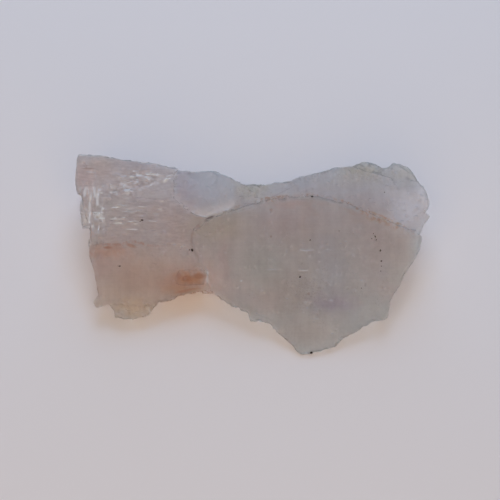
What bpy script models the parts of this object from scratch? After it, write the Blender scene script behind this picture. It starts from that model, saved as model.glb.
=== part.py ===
"""A cluster of intergrown pale fluorite crystals: one piece, lying on a cleavage face.

X runs along the cluster, Y from its thin front edge to its thick back, Z up.
Each slab is drawn in its own plane, in millimetres: a across it, b up its slope.
"""

import math
import random

import bmesh
import bpy
from mathutils import Matrix, Vector

MM = 0.001

# Driving dimensions, in millimetres and degrees
FRONT_TILT = 24.0  # slope of the big front plate above level
LEFT_TILT = 22.5  # slope of the left block
LEFT_ROLL = 2.5  # the left block rises towards its free end by this
MIDDLE_TILT = 16.0  # slope of the smooth face between the two lobes
BACK_TILT = 12.0  # slope of the plate behind the front one
CORE_COVER = 3.6  # the core's top lies this far under the front plate's face
TERRACE_RISE = 0.3  # the front plate's smooth face above its rim
STEP_PITCH = 2.2  # usual length of one cleavage step along an edge
STEP_DEPTH = 0.22  # usual height of one such step
WALL_RELIEF = 0.014  # unevenness of the walls, as a share of the distance to the middle
FLOOR_RELIEF = 0.9  # how far the underside is hollowed between the patches it rests on

# Each slab's own plane: (y, z) of its foot line, slope, roll
FRONT = ((-0.6, 1.1), FRONT_TILT, 0.0)
LEFT = ((-0.2, 0.4), LEFT_TILT, LEFT_ROLL)
MIDDLE = ((27.0, 11.5), MIDDLE_TILT, 0.0)
BACK = ((24.0, 10.5), BACK_TILT, 0.0)

# Outlines, anticlockwise
FRONT_PLATE = [
    (10.6, 0.0), (14.7, 0.7), (18.0, 2.0), (19.1, 3.4), (22.7, 5.1), (26.6, 7.6),
    (29.7, 8.2), (29.9, 11.2), (31.9, 14.5), (34.1, 19.2), (36.6, 22.8), (37.0, 26.4),
    (32.3, 28.3), (29.0, 30.0), (26.2, 31.1), (22.9, 32.4), (20.2, 33.5), (15.8, 34.6),
    (12.5, 35.0), (8.1, 34.8), (3.3, 34.2), (-1.3, 33.1), (-5.1, 31.6), (-9.5, 30.0),
    (-12.3, 27.8), (-13.6, 26.4), (-13.2, 24.0), (-11.9, 21.0), (-10.1, 17.0),
    (-9.2, 14.3), (-6.9, 12.0), (-4.6, 10.4), (-3.8, 10.7), (-1.0, 9.5), (-0.5, 7.7),
    (3.5, 7.2), (5.2, 5.2), (8.8, 1.9),
]
FRONT_FACE = [
    (11.0, 0.8), (17.2, 2.4), (22.2, 5.8), (28.4, 8.8), (28.9, 12.0), (30.8, 15.4),
    (33.1, 20.6), (33.2, 27.1), (28.6, 29.6), (22.4, 32.1), (15.8, 34.2), (8.1, 34.4),
    (2.0, 33.3), (-5.6, 30.9), (-11.7, 27.4), (-12.2, 24.0), (-9.8, 18.4), (-8.1, 14.6),
    (-4.8, 11.2), (0.2, 8.9), (4.4, 7.3), (9.0, 2.7),
]
UPPER_LEFT = [
    (-35.9, 23.7), (-34.0, 24.3), (-31.8, 23.5), (-29.6, 23.9), (-27.5, 23.0),
    (-22.5, 23.4), (-20.2, 24.2), (-16.6, 23.8), (-14.4, 22.9), (-8.4, 23.8),
    (-5.0, 27.6), (-9.6, 29.8), (-13.2, 30.6), (-16.4, 32.6), (-18.0, 34.4),
    (-18.2, 40.9), (-22.0, 41.9), (-29.4, 42.5), (-34.1, 43.5), (-39.3, 43.6),
    (-39.7, 38.7), (-39.5, 35.1), (-38.5, 34.9), (-37.4, 29.2), (-36.3, 28.6),
    (-36.1, 24.6),
]
LOWER_LEFT = [
    (-34.2, 12.5), (-35.2, 10.8), (-34.7, 9.7), (-32.8, 10.3), (-31.0, 10.4),
    (-22.4, 10.5), (-19.0, 11.5), (-15.2, 13.1), (-11.9, 13.8), (-6.0, 14.6),
    (-4.0, 27.0), (-33.4, 25.0), (-36.0, 23.6), (-36.6, 22.2), (-35.4, 18.1),
]
LIP = [
    (-30.2, 7.9), (-26.7, 7.5), (-22.9, 8.6), (-22.0, 10.2), (-18.5, 13.0),
    (-20.0, 20.0), (-30.0, 20.0), (-32.0, 11.5), (-31.0, 9.6),
]
MIDDLE_FACE = [
    (-19.5, 2.0), (-13.0, -1.6), (-6.0, -2.0), (0.4, 2.0), (0.2, 6.0), (-1.2, 8.0),
    (-3.2, 9.2), (-6.2, 10.8), (-8.9, 11.7), (-12.8, 11.4), (-19.0, 11.9),
]
BACK_PLATE = [
    (0.0, -4.0), (33.0, -5.0), (36.2, -1.0), (37.0, 1.4), (39.1, 4.8), (37.8, 6.0),
    (38.7, 6.5), (38.9, 8.8), (38.1, 10.8), (35.9, 13.7), (34.4, 16.2), (31.8, 17.0),
    (28.7, 15.9), (26.6, 17.1), (24.2, 17.3), (21.3, 15.1), (20.8, 15.7), (14.7, 14.4),
    (10.1, 12.4), (9.2, 12.9), (2.9, 11.7), (-0.1, 12.2), (-5.0, 11.0), (-6.0, 2.0),
]
BACK_SHELVES = [
    [(1.4, 9.4), (5.0, 9.2), (7.6, 9.9), (9.8, 12.1), (9.0, 12.7), (2.9, 11.5), (0.6, 11.2)],
    [(10.2, 10.2), (13.8, 11.0), (17.4, 12.6), (21.2, 13.6), (20.4, 15.3), (14.7, 14.1),
     (10.1, 12.2)],
    [(15.0, 9.0), (20.2, 9.0), (26.6, 10.6), (36.2, 11.8), (33.6, 14.0), (27.0, 14.8),
     (20.0, 12.6)],
]
SHELF_RISES = (0.6, 0.8, 0.45)  # above the back plate's plane
RECESSES = [
    [(-17.4, 15.2), (-15.6, 14.9), (-13.0, 15.1), (-10.8, 15.3), (-10.2, 17.2),
     (-10.6, 18.9), (-13.2, 18.6), (-15.0, 18.8), (-16.8, 18.2), (-17.6, 16.8)],
    [(-16.2, 15.8), (-14.2, 15.6), (-13.6, 17.2), (-14.8, 18.1), (-16.3, 17.4)],
    [(-12.4, 16.4), (-10.9, 16.0), (-10.7, 18.4), (-12.0, 18.2)],
]
RECESS_DEPTHS = (0.65, 0.95, 0.9)  # below the left block's plane
CORE = [
    (-33.0, 17.0), (-28.0, 14.0), (-20.0, 14.5), (-12.0, 17.5), (-6.0, 16.5),
    (0.0, 12.0), (6.0, 8.0), (11.0, 5.5), (17.0, 7.5), (24.0, 12.0), (29.0, 16.0),
    (32.0, 22.0), (35.0, 30.0), (31.0, 37.0), (22.0, 39.5), (8.0, 36.0), (0.0, 35.0),
    (-8.0, 37.0), (-18.0, 38.0), (-30.0, 39.0), (-36.0, 37.0), (-35.0, 27.0),
]

# Section stacks, from the top down: (height, scale of the outline)
CORE_WALL = [(19, 0.96), (5, 1.02), (4.6, 0.98), (2.2, 0.96), (-2, 0.88)]
PLATE_WALL = [(0, 0.985), (-0.5, 1.0), (-2.2, 0.985), (-2.5, 0.94), (-7.0, 0.86)]
THIN_WALL = [(0, 0.985), (-0.3, 1.0), (-1.9, 0.98), (-4.5, 0.9)]
SHELF_WALL = [(0, 0.95), (-0.25, 1.0), (-2.0, 1.02)]
RECESS_WALL = [(1.0, 1.06), (0.0, 0.94)]


def stepped(outline, chance, pitch=STEP_PITCH, depth=STEP_DEPTH):
    """The outline with each run broken into short cleavage steps."""
    points = []
    for here, ahead in zip(outline, outline[1:] + outline[:1]):
        run = Vector(ahead) - Vector(here)
        out = Vector((run.y, -run.x)).normalized()
        points.append(tuple(here))
        along = pitch * chance.uniform(0.6, 1.2)
        while along < run.length - 0.4 * pitch:
            shift = out * chance.uniform(-depth, depth)
            points.append(tuple(Vector(here) + run.normalized() * along + shift))
            along += pitch * chance.uniform(0.5, 1.5)
    return points


def stack(outline, sections, chance):
    """A solid whose level sections are the outline, scaled about its middle."""
    middle = sum((Vector(p) for p in outline), Vector((0, 0))) / len(outline)
    solid = bmesh.new()
    rings = []
    for level, (height, scale) in enumerate(sections):
        relief = WALL_RELIEF if level > 1 else 0
        ring = []
        for point in outline:
            reach = scale + chance.uniform(-relief, relief)
            spot = middle + (Vector(point) - middle) * reach
            ring.append(solid.verts.new((spot.x * MM, spot.y * MM, height * MM)))
        rings.append(ring)
    solid.faces.new(rings[0])
    solid.faces.new(list(reversed(rings[-1])))
    for upper, lower in zip(rings, rings[1:]):
        for i in range(len(outline)):
            j = (i + 1) % len(outline)
            solid.faces.new((upper[i], lower[i], lower[j], upper[j]))
    return solid


def cleave(solid, point, normal):
    """Cuts away what lies beyond a plane and closes the cut with a flat face."""
    cut = bmesh.ops.bisect_plane(
        solid,
        geom=list(solid.verts) + list(solid.edges) + list(solid.faces),
        plane_co=Vector(point) * MM,
        plane_no=Vector(normal),
        clear_outer=True,
    )
    rim = [item for item in cut["geom_cut"] if isinstance(item, bmesh.types.BMEdge)]
    bmesh.ops.holes_fill(solid, edges=rim, sides=0)


def finished(solid, name):
    bmesh.ops.recalc_face_normals(solid, faces=solid.faces)
    data = bpy.data.meshes.new(name)
    solid.to_mesh(data)
    solid.free()
    return data


def slab(name, outline, sections, facets, seed):
    """A plate in its own plane. Each facet is a point of its top and how far it leans there."""
    chance = random.Random(seed)
    solid = stack(stepped(outline, chance), sections, chance)
    for point, lean_x, lean_y in facets:
        slope_x = math.tan(math.radians(lean_x))
        slope_y = math.tan(math.radians(lean_y))
        cleave(solid, point, (slope_x, slope_y, 1))
    return finished(solid, name)


def block(name, size):
    """A plain crystal block, its top centred on the origin."""
    solid = bmesh.new()
    bmesh.ops.create_cube(solid, size=1)
    shape = Matrix.Diagonal((*(Vector(size) * MM), 1))
    shape.translation = Vector((0, 0, -size[2] * MM / 2))
    bmesh.ops.transform(solid, matrix=shape, verts=solid.verts)
    return finished(solid, name)


def lump(name, radii, corners, chance):
    """A knob with flat broken faces: the hull of random points on an ellipsoid."""
    solid = bmesh.new()
    for _ in range(corners):
        way = Vector([chance.gauss(0, 1) for _ in range(3)]).normalized()
        spot = Vector([w * r for w, r in zip(way, radii)]) * chance.uniform(0.86, 1.0)
        solid.verts.new(spot * MM)
    bmesh.ops.convex_hull(solid, input=solid.verts)
    loose = [v for v in solid.verts if not v.link_faces]
    bmesh.ops.delete(solid, geom=loose, context="VERTS")
    return finished(solid, name)


def put(data, collection, plane=None, spot=(0, 0, 0), lean=(0, 0, 0)):
    """Adds a mesh as a hidden operand, standing on a slab's plane at (a, b, rise)."""
    obj = bpy.data.objects.new(data.name, data)
    collection.objects.link(obj)
    foot, tilt, roll = plane or ((0, 0), 0, 0)
    turned = Matrix.Rotation(math.radians(roll), 4, "Y") @ Matrix.Rotation(
        math.radians(tilt), 4, "X"
    )
    place = turned @ Vector(spot) + Vector((0, *foot))
    own = [math.radians(angle) for angle in lean]
    obj.matrix_world = (
        Matrix.Translation(place * MM)
        @ turned
        @ Matrix.Rotation(own[2], 4, "Z")
        @ Matrix.Rotation(own[1], 4, "Y")
        @ Matrix.Rotation(own[0], 4, "X")
    )
    obj.hide_render = True
    obj.display_type = "WIRE"
    return obj


def add_slabs(growths):
    rim = [(h - TERRACE_RISE, s) for h, s in PLATE_WALL]
    put(slab("front_plate", FRONT_PLATE, rim, [], 11), growths, FRONT)
    tops = [((10, 8.0, 0.0), 0, -3), ((29, 20, -0.1), 3, 0), ((-7, 27, 0.0), -2.5, 1.5)]
    face = [(0, 0.985), (-0.25, 1.0), (-2.0, 1.01)]
    put(slab("front_face", FRONT_FACE, face, tops, 12), growths, FRONT)
    upper = [((-30, 41.0, 0), 0, 3), ((-37, 30, 0), -3, 0), ((-14, 33, 0), 2, 0)]
    put(slab("upper_left", UPPER_LEFT, PLATE_WALL, upper, 13), growths, LEFT)
    lower = [(h - 0.12, s) for h, s in THIN_WALL]
    dips = [((-14, 20, -0.12), -1.0, 0), ((-24, 12.5, -0.5), 0, -5)]
    put(slab("lower_left", LOWER_LEFT, lower, dips, 14), growths, LEFT)
    lip = [(h - 1.3, s) for h, s in THIN_WALL]
    put(slab("lip", LIP, lip, [], 17), growths, LEFT)
    saddle = [(0, 0.97), (-0.5, 1.0), (-5, 1.0), (-8, 0.96)]
    put(slab("middle_face", MIDDLE_FACE, saddle, [((-2, 8, 0), 2.5, 0)], 15), growths, MIDDLE)
    put(slab("back_plate", BACK_PLATE, PLATE_WALL, [], 16), growths, BACK)
    for i, (outline, rise) in enumerate(zip(BACK_SHELVES, SHELF_RISES)):
        shelf = slab(f"shelf_{i}", outline, SHELF_WALL, [], 20 + i)
        put(shelf, growths, BACK, (0, 0, rise), (0.6 * i - 0.6, 0.4, 0))


def add_columns(growths, chance):
    """Upright growth columns that give the left block its fluted, stepped side."""
    columns = [(-38.8, 36.0, 42.6, 1.0), (-37.4, 33.4, 40.6, 1.0), (-35.9, 28.8, 37.4, 1.0),
               (-34.9, 25.4, 33.4, 0.8), (-35.0, 34.6, 41.6, 1.1), (-33.8, 30.8, 36.8, 1.0),
               (-33.6, 25.0, 29.4, 0.7), (-32.8, 33.0, 37.4, 0.8)]
    for a, low, high, width in columns:
        column = block("column", (width, high - low, 2.0))
        spot = (a, (low + high) / 2, chance.uniform(0.02, 0.3))
        lean = (chance.uniform(-0.9, 0.9), chance.uniform(-6, 6), chance.uniform(-1, 1))
        put(column, growths, LEFT, spot, lean)


def add_hillocks(growths, chance):
    """Level growth hillocks crowding the upper part of the left block."""
    for row in range(7):
        across = -31.5 + chance.uniform(0, 2.5)
        while across < -19.0:
            length = chance.uniform(1.2, 3.6)
            width = chance.uniform(0.4, 0.8)
            b = 34.2 + 1.05 * row + chance.uniform(-0.4, 0.4)
            lean = (chance.uniform(-9, 4), chance.uniform(-3, 3), chance.uniform(-4, 4))
            if chance.random() < 0.6:
                hillock = block("hillock", (length, width, 1.2))
                rise = chance.uniform(0.0, 0.25)
            else:
                hillock = lump("hillock", (length / 2, width * 0.6, 0.7), 11, chance)
                rise = chance.uniform(-0.4, -0.2)
            put(hillock, growths, LEFT, (across + length / 2, b, rise), lean)
            across += length + chance.uniform(0.1, 2.2)


def add_ledges(growths):
    """Thin level ledges: (a, b, length, width) on the slab they cross."""
    left = [(-27.6, 29.4, 6.0, 0.4), (-28.0, 28.3, 5.0, 0.35), (-26.2, 30.4, 4.0, 0.3),
            (-34.0, 40.2, 3.6, 0.8), (-22.4, 40.3, 4.8, 0.5), (-18.6, 38.9, 1.6, 0.7)]
    front = [(11.8, 22.9, 3.0, 0.3), (4.6, 18.6, 2.8, 0.3), (11.0, 18.5, 2.2, 0.3),
             (12.1, 11.5, 1.2, 0.4), (28.3, 15.3, 0.9, 0.4), (13.8, 9.4, 1.6, 0.3)]
    for plane, rows, rise in ((LEFT, left, 0.14), (FRONT, front, 0.22)):
        for i, (a, b, length, width) in enumerate(rows):
            bar = block("ledge", (length, width, 0.8))
            put(bar, growths, plane, (a, b, rise), (-2, 0.4 * (-1) ** i, 1.2 * (-1) ** i))


def add_crumbs(growths, chance):
    """Broken crumbs along the front plate's back edge, and round the middle face."""
    arc = [p for p in FRONT_PLATE if p[1] > 26]
    arc.sort()
    for here, ahead in zip(arc, arc[1:]):
        run = Vector(ahead) - Vector(here)
        along = chance.uniform(0, 1.4)
        while along < run.length:
            spot = Vector(here) + run.normalized() * along
            size = chance.choice((0.4, 0.55, 0.8, 1.1))
            radii = [size * chance.uniform(0.7, 1.2) for _ in range(3)]
            at = (spot.x, spot.y + chance.uniform(-1.1, 0.1), -0.15 - 0.6 * size)
            put(lump("crumb", radii, 8, chance), growths, FRONT, at)
            along += size * chance.uniform(1.2, 4.0)
    middle = [(-16.6, 3.7), (-15.0, 2.9), (-13.4, 1.8), (-11.6, 1.2), (-17.7, 6), (-17.7, 9.5),
              (-3.4, 7.0), (-2.6, 5.6), (-4.6, 8.6), (-1.8, 3.6)]
    for a, b in middle:
        radii = [chance.uniform(0.4, 0.8) for _ in range(3)]
        put(lump("crumb", radii, 9, chance), growths, MIDDLE, (a, b, -0.1))


def add_knobs(growths, chance):
    """The two rough knobs on the back rim, and smaller ones down the right edge."""
    knobs = [(24.6, 15.4, -0.1, (3.2, 1.9, 1.1)), (31.8, 15.0, -0.2, (3.6, 2.1, 1.3)),
             (36.8, 9.2, -0.6, (1.7, 2.4, 0.9)), (37.4, 4.6, -0.6, (1.2, 1.4, 0.9)),
             (28.2, 13.4, -0.1, (1.7, 1.3, 0.7)), (3.0, 9.2, -0.1, (2.0, 1.0, 0.5)),
             (-1.6, 9.6, 0.3, (1.9, 1.7, 0.6)), (-0.6, 11.2, 0.0, (1.6, 1.0, 0.5)),
             (0.8, 8.6, 0.1, (1.1, 0.9, 0.5)), (19.0, 15.0, 0.3, (1.6, 0.7, 0.6))]
    for a, b, rise, radii in knobs:
        put(lump("knob", radii, 26, chance), growths, BACK, (a, b, rise))


def add_back_cubes(growths, chance):
    """Cube corners that stand out of the back and side walls, all turned the same way."""
    cubes = [(-33, 35.8, 10.5, 8), (-26, 36.5, 7.0, 6), (-20, 35.6, 11.0, 8), (-14, 34.8, 7.0, 5),
             (-6, 34.0, 9.0, 7), (2, 33.0, 6.0, 5), (9, 33.6, 8.5, 6), (16, 35.4, 9.5, 7),
             (24, 36.6, 7.5, 6), (31, 33.5, 9.0, 7), (33, 27.0, 7.0, 6), (31, 21.0, 5.0, 5),
             (-35.4, 30.0, 9.5, 5), (-33.5, 22.5, 7.5, 5), (26, 14.5, 4.5, 4), (-9, 15.4, 5.0, 4)]
    for x, y, z, side in cubes:
        size = [side * chance.uniform(0.8, 1.1) for _ in range(3)]
        put(block("cube", size), growths, None, (x, y, z), (24, 3, 8))


def add_pits(pits, chance):
    """The stained recess low on the left block, small pits, and the cleaved underside."""
    for i, (outline, depth) in enumerate(zip(RECESSES, RECESS_DEPTHS)):
        recess = slab(f"recess_{i}", outline, RECESS_WALL, [], 40 + i)
        put(recess, pits, LEFT, (0, 0, -depth), (i - 1.0, 0.8, 0))
    front = [(26.8, 25.5, 0.75), (26.3, 26.3, 0.45), (4.0, 31.3, 0.5), (4.0, 25.7, 0.4),
             (12.3, 25.1, 0.35), (10.3, 17.4, 0.5), (27.9, 22.9, 0.4), (28.1, 21.2, 0.3),
             (27.9, 19.6, 0.35), (17.6, 26.6, 0.45), (20.6, 14.4, 0.6), (-3.4, 14.9, 0.6),
             (24.6, 15.3, 0.5), (25.0, 12.7, 0.7), (14.0, 8.4, 0.7), (-8.4, 23.6, 0.5)]
    for a, b, radius in front:
        radii = [radius * chance.uniform(0.8, 1.2) for _ in range(3)]
        put(lump("pit", radii, 12, chance), pits, FRONT, (a, b, 0.05))
    left = [(-24.8, 29.8, 0.4), (-13.6, 23.0, 0.5), (-29.8, 19.4, 0.4), (-37.2, 41.2, 1.0),
            (-32.0, 23.0, 0.7), (-9.6, 30.2, 0.8), (-26.6, 23.6, 0.8), (-18.0, 24.2, 0.6)]
    for a, b, radius in left:
        radii = [radius * f for f in (1.6, 0.8, 0.8)]
        put(lump("pit", radii, 12, chance), pits, LEFT, (a, b, 0.0))
    put(block("ground", (200, 200, 40)), pits)
    hollows = [(-22, 27, 9, 6, 14), (3, 24, 9, 7, -20), (23, 27, 7, 8, 30), (12.5, 9, 4, 2, 10)]
    for x, y, length, width, turn in hollows:
        hollow = lump("hollow", (length, width, FLOOR_RELIEF), 30, chance)
        put(hollow, pits, None, (x, y, 0), (0, 0, turn))


def shade(obj):
    stone = bpy.data.materials.new("fluorite")
    stone.use_nodes = True
    shader = stone.node_tree.nodes["Principled BSDF"]
    shader.inputs["Base Color"].default_value = (0.62, 0.6, 0.6, 1)
    shader.inputs["Roughness"].default_value = 0.4
    shader.inputs["Metallic"].default_value = 0.0
    obj.data.materials.append(stone)


def combine(obj, operation, operands):
    modifier = obj.modifiers.new(operation.lower(), "BOOLEAN")
    modifier.operation = operation
    modifier.operand_type = "COLLECTION"
    modifier.collection = operands
    modifier.solver = "EXACT"
    modifier.use_self = operation == "UNION"


def centre_on_base(obj):
    """Moves everything so that the finished piece stands centred on the origin."""
    graph = bpy.context.evaluated_depsgraph_get()
    corners = [Vector(c) for c in obj.evaluated_get(graph).bound_box]
    middle = (min(corners, key=sum) + max(corners, key=sum)) / 2
    shift = Vector((middle.x, middle.y, min(c.z for c in corners)))
    for each in bpy.data.objects:
        each.location -= shift


def main():
    for old in list(bpy.data.objects):
        bpy.data.objects.remove(old)
    scene = bpy.context.scene.collection
    growths = bpy.data.collections.new("growths")
    pits = bpy.data.collections.new("pits")
    scene.children.link(growths)
    scene.children.link(pits)
    chance = random.Random(3)
    body = stack(stepped(CORE, chance, 3.6, 0.5), CORE_WALL, chance)
    lean = math.radians(FRONT_TILT)
    cover = (0, FRONT[0][0], FRONT[0][1] - CORE_COVER)
    cleave(body, cover, (0, -math.sin(lean), math.cos(lean)))
    crystal = bpy.data.objects.new("fluorite_crystal", finished(body, "core"))
    scene.objects.link(crystal)
    add_slabs(growths)
    add_columns(growths, random.Random(31))
    add_hillocks(growths, random.Random(32))
    add_ledges(growths)
    add_crumbs(growths, random.Random(33))
    add_knobs(growths, random.Random(34))
    add_back_cubes(growths, random.Random(35))
    add_pits(pits, random.Random(36))
    combine(crystal, "UNION", growths)
    combine(crystal, "DIFFERENCE", pits)
    shade(crystal)
    centre_on_base(crystal)


main()
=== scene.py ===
import math
from types import SimpleNamespace

import bmesh
import bpy
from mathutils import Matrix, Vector
from mathutils.bvhtree import BVHTree


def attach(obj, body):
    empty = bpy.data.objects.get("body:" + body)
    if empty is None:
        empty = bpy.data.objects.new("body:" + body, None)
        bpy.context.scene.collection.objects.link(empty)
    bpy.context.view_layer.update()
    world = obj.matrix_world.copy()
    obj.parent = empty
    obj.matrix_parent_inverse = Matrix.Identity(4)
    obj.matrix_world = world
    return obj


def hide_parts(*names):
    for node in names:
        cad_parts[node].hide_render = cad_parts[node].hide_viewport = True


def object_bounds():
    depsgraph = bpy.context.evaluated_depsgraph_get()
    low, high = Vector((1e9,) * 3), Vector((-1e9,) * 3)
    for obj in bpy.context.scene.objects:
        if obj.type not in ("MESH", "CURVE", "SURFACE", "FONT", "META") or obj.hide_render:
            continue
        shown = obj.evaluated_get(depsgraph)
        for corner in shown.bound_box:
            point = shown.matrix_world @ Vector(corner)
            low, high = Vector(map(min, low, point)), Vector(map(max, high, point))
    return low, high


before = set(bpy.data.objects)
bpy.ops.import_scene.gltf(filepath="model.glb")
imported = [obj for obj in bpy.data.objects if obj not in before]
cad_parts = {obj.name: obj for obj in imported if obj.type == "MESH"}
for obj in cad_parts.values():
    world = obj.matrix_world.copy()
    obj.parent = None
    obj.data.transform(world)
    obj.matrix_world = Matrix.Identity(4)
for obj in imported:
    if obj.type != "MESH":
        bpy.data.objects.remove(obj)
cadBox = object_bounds()
mm = 0.001

view = {
    "elevation": 60.0,  # degrees above the table
    "pixel": 0.22 * mm,  # what one frame pixel covers at the crystal
    "pixels": 500,
    "left": 75.0,  # frame columns and row that the crystal's outline reaches
    "right": 431.0,
    "bottom": 354.5,
    "distance": 0.8,  # from the camera to the crystal's faces
    "surface": 8.0 * mm,  # how far those faces stand out towards the camera
    "sensor": 36.0,
}
plate = {  # the broad front face
    "tilt": 24.0,  # degrees that it rises towards the back
    "height": 10.1 * mm,  # its distance from the origin
}
lift = math.radians(view["elevation"])
towardsCamera = Vector((0, -math.cos(lift), math.sin(lift)))
upFrame = Vector((0, math.sin(lift), math.cos(lift)))
plateTilt = math.radians(plate["tilt"])
plateNormal = Vector((0, -math.sin(plateTilt), math.cos(plateTilt)))
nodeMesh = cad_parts["fluorite_crystal"].data
lowest = min(v.co.dot(upFrame) for v in nodeMesh.vertices)
middleX = (cadBox[0][0] + cadBox[1][0]) / 2


class Wire:  # a socket that takes part in Python expressions
    def __init__(self, graph, node, output):
        self.graph = graph
        self.node = node
        self.socket = node.outputs[output]

    def out(self, name):  # another output of the same node
        return Wire(self.graph, self.node, name)

    def math(self, operation, *others):
        values = dict(enumerate((self, *others)))
        return self.graph.add("ShaderNodeMath", {"operation": operation}, values)

    def most(self, other):  # the greater of the two
        return self.math("MAXIMUM", other)

    def __add__(self, other):
        return self.math("ADD", other)

    __radd__ = __add__

    def __mul__(self, other):
        return self.math("MULTIPLY", other)

    __rmul__ = __mul__

    def __sub__(self, other):
        return self.math("SUBTRACT", other)

    def __rsub__(self, other):
        return self.graph.add("ShaderNodeMath", {"operation": "SUBTRACT"}, {0: other, 1: self})

    def __truediv__(self, other):
        return self.math("DIVIDE", other)

    def __gt__(self, other):
        return self.math("GREATER_THAN", other)

    def __pow__(self, other):
        return self.math("POWER", other)


class Graph:  # builds one node tree
    def __init__(self, tree):
        self.tree = tree

    def add(self, kind, settings=None, values=None, output=0):
        node = self.tree.nodes.new(kind)
        for name, value in (settings or {}).items():
            if name == "points":
                self.fillCurve(node.mapping, value)
            else:
                setattr(node, name, value)
        for key, value in (values or {}).items():
            socket = node.inputs[key]
            if isinstance(value, Wire):
                self.tree.links.new(value.socket, socket)
            elif socket.type == "RGBA":
                socket.default_value = (*value, 1.0)
            else:
                socket.default_value = value
        return Wire(self, node, output) if node.outputs else None

    def fillCurve(self, mapping, points):
        curve = mapping.curves[0]
        curve.points[0].location = points[0]
        curve.points[1].location = points[-1]
        for x, y in points[1:-1]:
            curve.points.new(x, y)
        mapping.update()

    def vector(self, operation, *values, output=0):
        sockets = dict(enumerate(values))
        return self.add("ShaderNodeVectorMath", {"operation": operation}, sockets, output)

    def dot(self, first, second):
        return self.vector("DOT_PRODUCT", first, second, output="Value")

    def blend(self, factor, first, second):  # colours
        values = {"Factor": factor, 6: first, 7: second}
        return self.add("ShaderNodeMix", {"data_type": "RGBA"}, values, 2)

    def scaled(self, colour, amount):  # a colour made lighter or darker
        settings = {"operation": "SCALE"}
        return self.add("ShaderNodeVectorMath", settings, {0: colour, "Scale": amount})

    def ease(self, value, low, high, start=0.0, end=1.0):  # a smooth step
        settings = {"interpolation_type": "SMOOTHSTEP"}
        values = {"Value": value, 1: low, 2: high, 3: start, 4: end}
        return self.add("ShaderNodeMapRange", settings, values)

    def between(self, value, rise, fall):  # 1 between the rise and the fall
        return self.ease(value, *rise) * self.ease(value, *fall)

    def noise(self, place, size, detail=2.0, roughness=0.5, output=0):
        values = {"Vector": place, "Scale": 1 / size, "Detail": detail, "Roughness": roughness}
        return self.add("ShaderNodeTexNoise", {}, values, output)

    def waves(self, place, counts, detail=3.0):  # noise drawn out along some directions
        return self.noise(self.vector("MULTIPLY", place, counts), 1.0, detail, 0.6)

    def cells(self, place, counts, uneven=1.0):  # one random value in each block-shaped cell
        place = self.vector("MULTIPLY", place, counts)
        values = {"Vector": place, "Scale": 1.0, "Randomness": uneven}
        colour = self.add("ShaderNodeTexVoronoi", {"distance": "CHEBYCHEV"}, values, "Color")
        return self.add("ShaderNodeSeparateXYZ", {}, {0: colour})

    def randomVector(self, low, high, seed):  # one for each point
        settings = {"data_type": "FLOAT_VECTOR"}
        return self.add("FunctionNodeRandomValue", settings, {0: low, 1: high, "Seed": seed})

    def path(self, column, points):  # the row that a line through the points has at a column
        points = [(x / view["pixels"], y / view["pixels"]) for x, y in points]
        share = column / view["pixels"]
        curve = self.add("ShaderNodeFloatCurve", {"points": points}, {"Value": share})
        return curve * view["pixels"]


def frameX(column):  # where a frame column lies across the crystal
    return middleX + (column - (view["left"] + view["right"]) / 2) * view["pixel"]


def frameV(row):  # how far up the frame a row lies, in metres
    return lowest + (view["bottom"] - row) * view["pixel"]


def frameColumn(x):
    return (x - frameX(0)) / view["pixel"]


def frameRow(v):
    return (frameV(0) - v) / view["pixel"]


def placed(name, data):  # a new object in the scene
    obj = bpy.data.objects.new(name, data)
    bpy.context.scene.collection.objects.link(obj)
    return obj


def makeCamera():
    middle = view["pixels"] / 2
    centre = Vector((frameX(middle), 0, 0)) + upFrame * frameV(middle)
    data = bpy.data.cameras.new("camera")
    data.sensor_width = view["sensor"]
    data.lens = view["sensor"] * view["distance"] / (view["pixels"] * view["pixel"])
    camera = placed("camera", data)
    camera.location = centre + towardsCamera * (view["surface"] + view["distance"])
    camera.rotation_euler = (math.radians(90) - lift, 0, 0)
    bpy.context.scene.camera = camera
    print("camera ready")


def newMaterial(name):
    material = bpy.data.materials.new(name)
    material.use_nodes = True
    material.node_tree.nodes.clear()
    return material, Graph(material.node_tree)


fluorite = {
    "transmission": 0.96,
    "ior": 1.434,
    "absorptionColour": (0.95, 0.72, 0.62),
    "absorption": 48.0,  # per metre
    "pale": (0.865, 0.935, 0.96),  # the cloudy stone itself
    "warm": (0.775, 0.835, 0.825),  # the broad front face
    "blue": (0.76, 0.80, 0.82),  # thick clear growth at the back
    "frosted": (0.81, 0.86, 0.94),  # fine crystals that scatter light, and the white of the painted glints
    "hazy": (0.60, 0.70, 0.86),
    "rust": (0.52, 0.36, 0.26),
    "frostedRough": 0.6,
    "bump": 0.05 * mm,
    "bumpStrength": 0.5,
    "rough": (0.3, 0.7, 0.85, 1.0),  # low and high grain, and the roughness there
    "coat": (0.4, 0.7, 0.1, 0.45),  # the same for how much glossy skin there is
    "gloss": 0.14,  # roughness of that skin
}
patterns = {  # noise in the stone: size, detail and roughness
    "drift": (3.2 * mm, 3.0, 0.6),  # bends the borders of the tints
    "wobble": (1.6 * mm, 2.0, 0.6),  # bends the seams
    "mottle": (5.0 * mm, 4.0, 0.65),
    "curdle": (0.55 * mm, 3.0, 0.7),
    "dust": (4.0 * mm,),  # where white specks gather
    "patches": (6.0 * mm, 2.0, 0.5),
    "crumbs": (0.9 * mm, 3.0, 0.7),
    "rust": (2.2 * mm, 3.0, 0.6),
    "fleck": (0.34 * mm, 2.0, 0.6),
    "frost": (0.35 * mm, 3.0, 0.6),
    "grain": (1.5 * mm, 3.0, 0.6),
}
weave = {  # growth layers: how many to a frame pixel across, down and deep
    "blocks": (0.16, 0.60, 0.25),
    "fine": (0.10, 0.55, 0.2),
    "upright": (0.16, 0.02, 0.1),
    "threads": (0.02, 0.5, 0.1),
    "dashes": (0.33, 0.85, 0.0),
    "bars": (0.42, 0.075, 0.0),
}
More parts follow.
